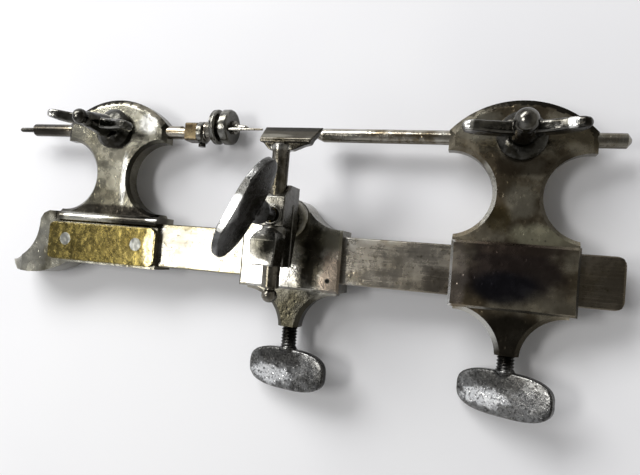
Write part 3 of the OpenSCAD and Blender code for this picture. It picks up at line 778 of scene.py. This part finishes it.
TAIL = Metal(
    "tail_steel", (0.40, 0.36, 0.27), (0.16, 0.13, 0.085), (0.03, 0.025, 0.018), tint=(0.21, 0.16, 0.095),
    wear_and_highlight=0.1,
    zones=(
        Zone((128.0, 2.5, 12.0), (15.0, 9.5, 4.0), (0.06, 0.045, 0.042), 0.92, 0.5),
        Zone((127.0, -2.5, 12.0), (10.0, 5.0, 4.0), (0.022, 0.022, 0.028), 0.9, 0.3, 90.0),
        Zone((128.0, 8.5, 12.0), (16.0, 2.5, 4.0), (0.095, 0.07, 0.055), 0.7, 0.4, 120.0),
        Zone((114.5, 0.0, 12.0), (3.0, 10.0, 4.0), (0.30, 0.26, 0.23), 0.6, 0.6, 200.0),
        Zone((141.0, -6.5, 12.0), (3.5, 2.5, 4.0), (0.26, 0.235, 0.18), 0.5, 0.6, 240.0),
        Zone((135.0, 12.0, 9.0), (8.5, 3.2, 3.0), (0.56, 0.53, 0.37), 0.9, 0.5),
        Zone((116.0, 41.0, 9.0), (7.0, 5.0, 4.0), (0.44, 0.42, 0.34), 0.6, 0.6),
        Zone((144.0, 40.0, 9.0), (9.0, 5.0, 5.0), (0.13, 0.105, 0.06), 0.8, 0.6),
        Zone((128.5, 30.5, 9.0), (10.0, 3.0, 4.0), (0.06, 0.045, 0.03), 0.7, 0.5),
        Zone((129.5, 21.5, 9.0), (4.6, 5.5, 4.0), (0.38, 0.35, 0.27), 0.8, 0.6, 150.0),
        Zone((124.0, 15.5, 9.0), (4.0, 4.0, 4.0), (0.10, 0.075, 0.03), 0.75, 0.5, 180.0),
        # Painted shade on the hollow foot under the block.
        Zone((128.5, -16.0, 9.0), (13.0, 7.5, 8.0), DARK, 0.93, 0.3),
        # Painted shade: the crown's chamfers, the right chamfers and the block's right and lower edges
        # darkened.
        Zone((128.5, 45.0, 8.0), (31.0, 14.0, 7.0), BLACK, 0.98, 0.05, 160.0, True),
        Zone((138.5, 22.0, 8.5), (7.0, 16.0, 5.0), (0.045, 0.038, 0.026), 0.9, 0.2, 160.0, True),
        Zone((145.0, 0.0, 11.6), (1.6, 12.0, 3.0), BLACK, 0.95, 0.15, 160.0, True),
        Zone((130.0, -8.8, 11.6), (15.0, 1.4, 3.0), BLACK, 0.9, 0.3, 160.0, True),
        Zone((137.0, -15.0, 8.5), (7.5, 8.0, 5.0), (0.07, 0.062, 0.046), 0.85, 0.3, 160.0, True),
        # Painted highlights on the left-facing chamfers.
        Zone((112.3, 0.0, 11.6), (1.3, 14.0, 3.0), (0.88, 0.87, 0.84), 1.0, 0.2, 160.0, True),
        Zone((121.0, 23.0, 8.5), (3.5, 12.0, 5.0), (0.78, 0.76, 0.68), 0.85, 0.4, 200.0, True),
        Zone((120.0, -14.0, 8.5), (7.5, 8.0, 5.0), (0.66, 0.65, 0.60), 0.8, 0.4, 200.0, True),
    ))
SADDLE = Metal(
    "saddle_steel", (0.54, 0.52, 0.45), (0.17, 0.155, 0.105), (0.04, 0.034, 0.022), tint=(0.26, 0.24, 0.18),
    wear_and_highlight=0.15,
    zones=(
        # Painted reflection: a bright patch of lamp light on the left of the front face.
        Zone((60.0, 0.0, 12.0), (10.5, 11.0, 4.0), (0.78, 0.77, 0.73), 0.85, 0.6, 260.0),
        Zone((79.5, -3.0, 12.0), (4.4, 8.0, 4.0), (0.27, 0.215, 0.165), 0.9, 0.7, 300.0),
        # Painted reflection: a dark strip of the surroundings on the right of the front face.
        Zone((73.4, 1.0, 12.0), (3.4, 11.0, 4.0), (0.06, 0.052, 0.034), 0.94, 1.0, 330.0),
        Zone((79.0, 7.0, 12.0), (5.0, 3.5, 4.0), (0.15, 0.14, 0.095), 0.8, 0.5),
        Zone((78.3, -5.2, 12.0), (0.9, 0.8, 2.0), (0.012, 0.012, 0.01), 1.0, 0.3, 500.0),
        # Painted shade on the hollow foot under the saddle.
        Zone((66.2, -14.5, 9.0), (14.0, 9.0, 8.0), (0.04, 0.036, 0.024), 0.9, 0.5, 380.0),
        Zone((62.0, 13.5, 12.0), (10.0, 4.0, 4.0), (0.30, 0.29, 0.26), 0.5, 0.5),
    ))
KNOB = Metal(
    "knob_steel", (0.20, 0.198, 0.19), (0.095, 0.093, 0.088), (0.014, 0.013, 0.012), rough=(0.15, 0.32),
    cloud=150.0, share=(0.42, 0.6), speck=1700.0, specks=(0.5, 0.6), pits=1.6, tint=(0.13, 0.127, 0.115),
    dents=0.2, sides=0.95,
    zones=(
        # Tailstock knob: painted shade on the upper part and lower right, a painted highlight on the lower
        # left.
        Zone((130.0, -27.5, 6.0), (15.0, 3.2, 5.0), (0.06, 0.058, 0.053), 0.85, 0.5, 200.0),
        Zone((121.5, -33.0, 6.0), (9.0, 2.8, 5.0), (0.95, 0.95, 0.93), 0.98, 0.9, 420.0),
        Zone((140.0, -33.5, 6.0), (4.5, 4.5, 5.0), (0.06, 0.058, 0.053), 0.7, 0.5, 200.0),
        # Saddle knob: painted shade on the upper part, a painted highlight on the lower left.
        Zone((66.0, -29.0, 6.0), (13.0, 3.0, 5.0), (0.06, 0.058, 0.053), 0.85, 0.5, 200.0),
        Zone((60.5, -35.0, 6.0), (9.0, 2.8, 5.0), (0.95, 0.95, 0.93), 0.98, 0.9, 420.0),
        # Painted shade: the necks under the blocks made nearly black.
        Zone((128.5, -20.4, 6.0), (4.2, 5.6, 4.2), (0.012, 0.011, 0.009), 1.0, 0.05),
        Zone((66.2, -20.9, 6.0), (4.2, 6.4, 4.2), (0.012, 0.011, 0.009), 1.0, 0.05),
    ))
GRIP = Metal(
    "grip_steel", (0.15, 0.15, 0.145), (0.075, 0.073, 0.068), (0.022, 0.021, 0.019), rough=(0.18, 0.34),
    cloud=120.0, share=(0.4, 0.66), speck=1300.0, specks=(0.62, 0.74), pits=0.3, tint=(0.09, 0.087, 0.078),
    dents=0.12,
    zones=(
        # Painted highlight on the rim of the knob.
        Zone((64.6, 10.6, 52.5), (4.0, 4.4, 4.0), (0.86, 0.86, 0.84), 0.95, 0.5, 240.0),
        # Painted shade: the neck under the knob made nearly black.
        Zone((65.6, 11.9, 33.5), (6.0, 6.0, 7.0), (0.006, 0.006, 0.005), 1.0, 0.05),
    ))
GUN = Metal(
    "gun_steel", (0.06, 0.058, 0.05), (0.022, 0.02, 0.015), (0.008, 0.008, 0.007), rough=(0.14, 0.28),
    cloud=130.0, tint=(0.036, 0.032, 0.024), wear_and_highlight=0.2, dents=0.3)
WING = Metal(
    "wing_steel", (0.10, 0.095, 0.08), (0.026, 0.024, 0.019), (0.009, 0.008, 0.007), rough=(0.12, 0.26),
    cloud=160.0, tint=(0.055, 0.05, 0.038), dents=0.4,
    zones=(
        Zone((128.5, 38.4, 19.0), (4.2, 4.2, 9.0), (0.03, 0.027, 0.022), 0.85, 0.3),
        Zone((144.5, 39.5, 25.0), (4.6, 4.0, 4.0), (0.03, 0.027, 0.022), 0.9, 0.3),
        # Bright spots at the wing ends: polish and painted highlight.
        Zone((139.2, 39.0, 23.5), (1.3, 2.5, 1.4), (0.90, 0.89, 0.84), 0.95, 0.4, 300.0),
        Zone((115.0, 38.0, 23.5), (1.3, 3.0, 1.6), (0.90, 0.89, 0.84), 0.95, 0.4, 300.0),
        Zone((-14.0, 40.0, 22.0), (2.5, 3.0, 4.0), (0.60, 0.59, 0.55), 0.85, 0.5, 300.0),
    ))
HOLDER = Metal(
    "holder_steel", (0.25, 0.245, 0.225), (0.10, 0.096, 0.08), (0.022, 0.021, 0.018), rough=(0.18, 0.36),
    cloud=120.0, tint=(0.15, 0.14, 0.115), dents=0.3,
    zones=(
        # Painted shade on the slanted top of the block and the arched top of the front jaw.
        Zone((65.6, 19.2, 24.5), (4.5, 2.6, 3.5), (0.10, 0.085, 0.065), 0.85, 0.4, 300.0),
        Zone((65.6, 4.0, 32.0), (4.0, 3.6, 1.5), (0.09, 0.085, 0.065), 0.8, 0.5, 300.0),
        # Painted highlight at the bottom of the front jaw's lump.
        Zone((65.0, -1.4, 32.0), (3.2, 1.3, 2.0), (0.72, 0.70, 0.63), 0.9, 0.5, 300.0),
    ))
REST = Metal(
    "rest_steel", (0.17, 0.155, 0.125), (0.06, 0.052, 0.035), (0.016, 0.014, 0.01), rough=(0.14, 0.3),
    cloud=120.0, tint=(0.13, 0.115, 0.08), dents=0.3,
    zones=(
        Zone((67.0, 35.2, 24.0), (12.0, 3.4, 5.0), (0.055, 0.048, 0.034), 0.9, 0.3),
        Zone((69.0, 36.2, 22.5), (11.0, 1.0, 2.2), BLACK, 0.9, 0.3, 120.0),
        Zone((63.0, 33.8, 25.0), (5.5, 0.8, 2.0), (0.30, 0.285, 0.235), 0.7, 0.5, 120.0),
        Zone((69.0, 31.4, 24.0), (9.5, 1.5, 4.0), (0.03, 0.026, 0.018), 0.9, 0.3),
        # Painted highlight on the collar at the top of the stem.
        Zone((65.6, 30.6, 24.0), (3.3, 1.2, 3.3), (0.60, 0.59, 0.55), 0.85, 0.3),
    ))
RUNNER = Metal(
    "runner_steel", (0.46, 0.44, 0.39), (0.20, 0.165, 0.11), (0.04, 0.033, 0.022), rough=(0.12, 0.26),
    grain=Grain.ACROSS_BAR, tint=(0.24, 0.19, 0.12), dents=0.2,
    zones=(
        Zone((-30.0, 38.4, 6.0), (15.0, 4.0, 4.0), (0.028, 0.025, 0.02), 0.96, 0.2),
        Zone((152.0, 38.4, 6.0), (9.0, 4.0, 4.0), (0.22, 0.205, 0.165), 0.7, 0.5),
    ))
DRUM = Metal(
    "pulley_steel", (0.17, 0.165, 0.145), (0.07, 0.066, 0.052), (0.022, 0.02, 0.016), rough=(0.14, 0.3),
    cloud=150.0, tint=(0.15, 0.14, 0.11), wear_and_highlight=0.6, dents=0.2)
CLAMP = Metal(
    "clamp_metal", (0.16, 0.125, 0.07), (0.075, 0.055, 0.03), (0.02, 0.016, 0.01), rough=(0.2, 0.4))
BRASS = Metal(
    "old_brass", (0.17, 0.134, 0.042), (0.08, 0.06, 0.017), (0.024, 0.017, 0.006), rough=(0.16, 0.36),
    cloud=200.0, share=(0.38, 0.72), speck=1500.0, pits=1.0, tint=(0.125, 0.098, 0.034), wear_and_highlight=0.8,
    dents=0.45,
    zones=(
        Zone((19.2, 0.0, 12.0), (2.8, 7.0, 3.0), (0.78, 0.67, 0.36), 0.9, 0.4, 200.0),
        Zone((-17.5, -1.0, 12.0), (4.5, 6.0, 3.0), (0.15, 0.12, 0.04), 0.5, 0.5, 200.0),
    ))
RIVET = Metal(
    "rivet_steel", (0.33, 0.33, 0.30), (0.19, 0.19, 0.17), (0.07, 0.07, 0.06), rough=(0.3, 0.45),
    cloud=260.0)


@dataclass
class FixedHead:
    """The bed bar with its fixed head, brass cheeks and rivets."""

    def build(self, maker: Maker) -> None:
        """Refines and finishes the solids.

        Args:
            maker: Finishes and places the pieces.
        """
        maker.refine("bed_bar", Edge.FILED, BAR)
        maker.refine("headstock", Edge.CRISP, OLIVE)
        for node in ("front_cheek", "rear_cheek"):
            maker.refine(node, Edge.CRISP, BRASS)
        for node in ("left_rivet", "right_rivet"):
            maker.refine(node, Edge.CRISP, RIVET)
        maker.refine("left_screw_bush", Edge.FILED, GUN)
        maker.dress("left_pad", BRASS)


@dataclass
class LeftRunner:
    """The runner of the fixed head with its clamped block, collar and pulley."""

    def build(self, maker: Maker) -> None:
        """Refines and finishes the solids.

        Args:
            maker: Finishes and places the pieces.
        """
        for node in ("left_runner", "driver_pin"):
            maker.refine(node, Edge.CRISP, RUNNER)
        for node in ("runner_collar", "pulley"):
            maker.refine(node, Edge.CRISP, DRUM)
        maker.refine("runner_block", Edge.FILED, CLAMP)
        maker.dress("collar_screw", GUN)
        maker.dress("nose_ring", RUNNER)


@dataclass
class SlidingHead:
    """The sliding head with its block, runner, bush and shoe."""

    def build(self, maker: Maker) -> None:
        """Refines and finishes the solids.

        Args:
            maker: Finishes and places the pieces.
        """
        maker.refine("tailstock", Edge.CRISP, TAIL)
        maker.refine("tailstock_runner", Edge.CRISP, RUNNER)
        maker.refine("right_screw_bush", Edge.FILED, GUN)
        maker.refine("tailstock_shoe", Edge.CRISP, BAR)
        maker.dress("right_pad", BRASS)


@dataclass
class Saddle:
    """The saddle with its boss, shoe, holder and rest."""

    def build(self, maker: Maker) -> None:
        """Refines and finishes the solids.

        Args:
            maker: Finishes and places the pieces.
        """
        maker.refine("saddle", Edge.FILED, SADDLE)
        maker.refine("saddle_boss", Edge.FILED, SADDLE)
        maker.refine("saddle_shoe", Edge.CRISP, BAR)
        maker.forge("rest_holder", 0.18, 2, HOLDER)
        maker.forge("tool_rest", 0.2, 3, REST)
        maker.forge("rest_finial", 0.12, 2, REST)
        maker.dress("holder_pad", BRASS)


@dataclass
class Knob:
    """The pressed oval knob of a clamping screw, in its own frame with the screw along Z."""

    length: float = 27.0
    height: float = 12.2
    thick: float = 3.1
    rim: float = 1.9
    swell: tuple[tuple[float, float], ...] = (
        (0.97, 0.74), (0.9, 0.84), (0.76, 0.92), (0.54, 0.97), (0.28, 0.99), (0.08, 1.0))

    def build(self, name: str) -> bpy.types.Object:
        """Models the knob with its top edge at the origin.

        Args:
            name: Name of the new object.

        Returns:
            The knob.
        """
        Bench.clear()
        bpy.ops.mesh.primitive_cube_add(size=1.0, location=(0, 0, 0))
        piece = bpy.context.object
        piece.name = name
        piece.scale = (self.height * MM, self.rim * MM, self.height * MM)
        bpy.ops.object.transform_apply(location=True, rotation=True, scale=True)
        bpy.ops.object.mode_set(mode="EDIT")
        bpy.ops.mesh.select_mode(type="EDGE")
        bpy.ops.mesh.select_all(action="DESELECT")
        Bench.close()
        for edge in piece.data.edges:
            a, b = (piece.data.vertices[v].co for v in edge.vertices)
            edge.select = abs(a.y - b.y) > 0.5 * self.rim * MM
        bpy.ops.object.mode_set(mode="EDIT")
        bpy.ops.mesh.bevel(offset=self.height * 0.47 * MM, segments=12, profile=0.6, affect="EDGES")
        Bench.close()
        stretch = Matrix.Diagonal((self.length / self.height, 1, 1, 1))
        Bench.placed(piece, stretch)
        for side in (-1, 1):
            Bench.pick(piece, lambda centre, normal: normal.y * side > 0.9)
            depth = self.rim / 2
            size = 1.0
            for scale, share in self.swell:
                level = share * self.thick / 2
                rise = side * (level - depth) * MM
                bpy.ops.mesh.extrude_region_move(TRANSFORM_OT_translate={"value": (0, rise, 0)})
                bpy.ops.transform.resize(value=(scale / size, 1, scale / size), center_override=(0, 0, 0))
                depth, size = level, scale
            Bench.close()
        Bench.placed(piece, Matrix.Translation((0, 0, -self.height / 2 * MM)))
        return piece


@dataclass
class KnobScrew:
    """A clamping screw: real thread, collar and oval knob."""

    node: str
    matrix: Matrix
    foot: float
    knob_top: float

    def build(self, maker: Maker) -> None:
        """Models the screw and puts it in place of its solid.

        Args:
            maker: Finishes and places the piece.
        """
        knob = Knob().build("knob")
        Bench.placed(knob, Matrix.Translation((0, 0, self.knob_top * MM)))
        top, r = self.knob_top, SHANK_RADIUS
        collar = Bench.turned("collar", ((top - 2.4, 0.7), (top - 0.9, r - 0.3), (top - 0.3, r + 0.2),
                                         (top + 0.2, r + 0.3), (top + 0.6, r + 0.02)))
        head = Bench.fused(Bench.joined("head", [knob, collar]), 0.2, 4)
        Bench.smooth(head, 60.0)
        shank = Bench.thread(r, self.foot, SHANK_TIP)
        whole = Bench.joined(f"{self.node}_made", [head, shank])
        Bench.placed(whole, self.matrix)
        maker.settle(whole, KNOB, self.node, [self.node])


@dataclass
class WingScrew:
    """A winged clamping screw with a cone, two filed wings and a ball."""

    node: str
    matrix: Matrix
    ball: float
    turn: float
    base: float = 13.4
    sections: tuple[tuple[float, float, float, float], ...] = (
        (1.0, 15.4, 20.3, 3.4), (4.6, 15.7, 20.8, 3.3), (8.0, 16.6, 22.0, 3.2), (11.0, 17.7, 23.7, 3.0),
        (13.2, 18.8, 24.4, 2.8), (14.5, 19.9, 24.1, 2.4), (15.3, 21.2, 22.9, 1.7))

    def wing(self, half_turn: bool) -> bpy.types.Object:
        """Models one wing, drawn out from its root.

        Args:
            half_turn: Whether it is the wing on the other side.

        Returns:
            The wing.
        """
        Bench.clear()
        x, low, high, thick = self.sections[0]
        bpy.ops.mesh.primitive_cube_add(size=1.0, location=(0, 0, (low + high) / 2 * MM))
        piece = bpy.context.object
        piece.name = "wing"
        piece.scale = (2 * x * MM, thick * MM, (high - low) * MM)
        bpy.ops.object.transform_apply(location=True, rotation=True, scale=True)
        Bench.pick(piece, lambda centre, normal: normal.x > 0.9)
        for before, after in zip(self.sections, self.sections[1:]):
            lift = (after[1] + after[2] - before[1] - before[2]) / 2
            bpy.ops.mesh.extrude_region_move(
                TRANSFORM_OT_translate={"value": ((after[0] - before[0]) * MM, 0, lift * MM)})
            bpy.ops.transform.resize(
                value=(1, after[3] / before[3], (after[2] - after[1]) / (before[2] - before[1])),
                center_override=(after[0] * MM, 0, (after[1] + after[2]) / 2 * MM))
        Bench.close()
        Bench.apply(piece, "BEVEL", width=0.8 * MM, segments=3, limit_method="ANGLE",
                    angle_limit=math.radians(50))
        if half_turn:
            Bench.placed(piece, Matrix.Rotation(math.pi, 4, "Z"))
        return piece

    def build(self, maker: Maker) -> None:
        """Models the screw and puts it in place of its solid.

        Args:
            maker: Finishes and places the piece.
        """
        b, r = self.base, self.ball / 2
        middle = b + 10.8 + self.ball * 0.42
        hub = Bench.turned("hub", ((b, 2.6), (b + 0.3, 2.9), (b + 2.0, 3.6), (b + 2.7, 3.5), (b + 6.0, 2.95),
                                   (b + 9.4, 2.45), (b + 10.4, 2.1), (b + 11.3, 1.5), (middle, 1.45)))
        Bench.clear()
        bpy.ops.mesh.primitive_uv_sphere_add(segments=40, ring_count=24, radius=r * MM,
                                             location=(0, 0, middle * MM))
        ball = bpy.context.object
        bpy.ops.transform.resize(value=(1, 1, 0.96))
        bpy.ops.object.transform_apply(location=True, rotation=True, scale=True)
        head = Bench.fused(Bench.joined("head", [hub, ball, self.wing(False), self.wing(True)]), 0.2, 5)
        Bench.smooth(head, 60.0)
        shank = Bench.thread(*WING_SHANK)
        whole = Bench.joined(f"{self.node}_made", [head, shank])
        Bench.placed(whole, self.matrix @ Matrix.Rotation(math.radians(self.turn), 4, "Z"))
        maker.settle(whole, WING, self.node, [self.node])


@dataclass
class Screws:
    """The five clamping screws."""

    up: Matrix = field(default_factory=lambda: Matrix.Rotation(math.radians(-90), 4, "X"))

    def under(self, x: float, turn: float) -> Matrix:
        """Place of a screw below a block.

        Args:
            x: Place along the bar in millimetres.
            turn: Turn about the screw in degrees.

        Returns:
            The matrix from the screw's own frame.
        """
        place = Matrix.Translation((x * MM, 0, MIDDLE_Z * MM))
        return place @ self.up @ Matrix.Rotation(math.radians(turn), 4, "Z")

    def build(self, maker: Maker) -> None:
        """Models all screws.

        Args:
            maker: Finishes and places the pieces.
        """
        KnobScrew("tailstock_thumbscrew", self.under(TAIL_X, -26), -25.6, -25.2).build(maker)
        KnobScrew("saddle_thumbscrew", self.under(SADDLE_X, -16), -27.1, -26.7).build(maker)
        for node, x, ball, turn in (("left_wing_screw", 0, 4.7, -7), ("right_wing_screw", TAIL_X, 6.0, 2.5)):
            WingScrew(node, Matrix.Translation((x * MM, AXIS_Y * MM, 0)), ball, turn).build(maker)
        maker.forge("holder_thumbscrew", 0.15, 2, GRIP)


@dataclass
class Studio:
    """Floor, light and camera."""

    eye: tuple[float, float, float] = (0.12068, 0.00226, 0.1662)
    right: tuple[float, float, float] = (0.95653, 0.08191, -0.27989)
    above: tuple[float, float, float] = (-0.06989, 0.99616, 0.05268)
    ahead: tuple[float, float, float] = (-0.28313, 0.03083, -0.95859)
    lens: float = 31.22

    def clear(self) -> None:
        """Removes what a new file holds besides the part."""
        for thing in list(bpy.context.scene.objects):
            if "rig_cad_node" not in thing and not thing.name.startswith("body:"):
                bpy.data.objects.remove(thing)

    def camera(self) -> None:
        """Places the camera at the photograph's viewing angle."""
        data = bpy.data.cameras.new("camera")
        data.lens = self.lens
        data.sensor_width = 36.0
        data.clip_start, data.clip_end = 0.005, 20.0
        thing = bpy.data.objects.new("camera", data)
        bpy.context.scene.collection.objects.link(thing)
        back = [-v for v in self.ahead]
        rows = [[self.right[i], self.above[i], back[i], self.eye[i]] for i in range(3)]
        thing.matrix_world = Matrix([*rows, [0, 0, 0, 1]])
        bpy.context.scene.camera = thing

    def floor(self, height: float) -> None:
        """Lays the pale floor.

        Args:
            height: Its height in metres.
        """
        Bench.clear()
        bpy.ops.mesh.primitive_plane_add(size=3.0, location=(0.06, 0, height))
        floor = bpy.context.object
        floor.name = "floor"
        bpy.ops.object.transform_apply(location=True, rotation=True, scale=True)
        floor.data.materials.append(Paper().build())
        floor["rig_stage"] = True

    def lamp(self, name: str, place: Sequence[float], aim: Sequence[float], size: tuple[float, float],
             power: float, colour: Colour) -> None:
        """Hangs an area lamp.

        Args:
            name: Name of the lamp.
            place: Where it hangs, in metres.
            aim: The point it faces.
            size: Width and height in metres.
            power: Power in watts.
            colour: Colour of the light.
        """
        data = bpy.data.lights.new(name, "AREA")
        data.shape = "RECTANGLE"
        data.size, data.size_y = size
        data.energy = power
        data.color = colour
        thing = bpy.data.objects.new(name, data)
        bpy.context.scene.collection.objects.link(thing)
        thing.location = place
        thing.rotation_euler = (Vector(aim) - Vector(place)).to_track_quat("-Z", "Y").to_euler()

    def world(self) -> None:
        """Fills the room with a soft light, brighter on the left and darker overhead."""
        world = bpy.data.worlds.new("room")
        bpy.context.scene.world = world
        world.use_nodes = True
        tree = world.node_tree
        back = tree.nodes["Background"]
        coord = tree.nodes.new("ShaderNodeTexCoord")
        split = tree.nodes.new("ShaderNodeSeparateXYZ")
        tree.links.new(coord.outputs["Generated"], split.inputs[0])
        side = tree.nodes.new("ShaderNodeMapRange")
        side.interpolation_type = "SMOOTHSTEP"
        tree.links.new(split.outputs["X"], side.inputs["Value"])
        for key, number in zip(RAMP_ENDS, (-0.7, 0.6, 1.0, 0.0)):
            side.inputs[key].default_value = number
        mix = tree.nodes.new("ShaderNodeMix")
        mix.data_type = "RGBA"
        tree.links.new(side.outputs[0], mix.inputs[0])
        mix.inputs[6].default_value = (0.30, 0.29, 0.27, 1)
        mix.inputs[7].default_value = (0.66, 0.67, 0.70, 1)
        tree.links.new(mix.outputs[2], back.inputs["Color"])
        over = tree.nodes.new("ShaderNodeMapRange")
        over.interpolation_type = "SMOOTHSTEP"
        tree.links.new(split.outputs["Z"], over.inputs["Value"])
        for key, number in zip(RAMP_ENDS, (0.45, 0.95, 1.0, 0.34)):
            over.inputs[key].default_value = number
        tree.links.new(over.outputs[0], back.inputs["Strength"])

    def build(self) -> None:
        """Sets the stage."""
        self.camera()
        self.floor(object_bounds()[0].z - 0.0001)
        self.world()
        self.lamp("key", (-0.2, 0.0, 0.5), (0.05, 0.01, 0.0), (0.20, 0.10), 0.85, (1.0, 0.99, 0.97))
        self.lamp("fill", (-0.38, 0.6, 0.55), (0.06, 0.01, 0.0), (0.75, 0.34), 8.2, (1.0, 1.0, 1.0))
        bpy.context.scene.view_settings.view_transform = "Standard"


def main() -> None:
    """Builds the scene in order."""
    logging.basicConfig(level=logging.INFO, format="%(message)s")
    studio = Studio()
    studio.clear()
    maker = Maker()
    for assembly in (FixedHead(), LeftRunner(), SlidingHead(), Saddle(), Screws()):
        LOG.info("-- %s", type(assembly).__name__)
        assembly.build(maker)
    studio.build()


if __name__ == "__main__":
    main()
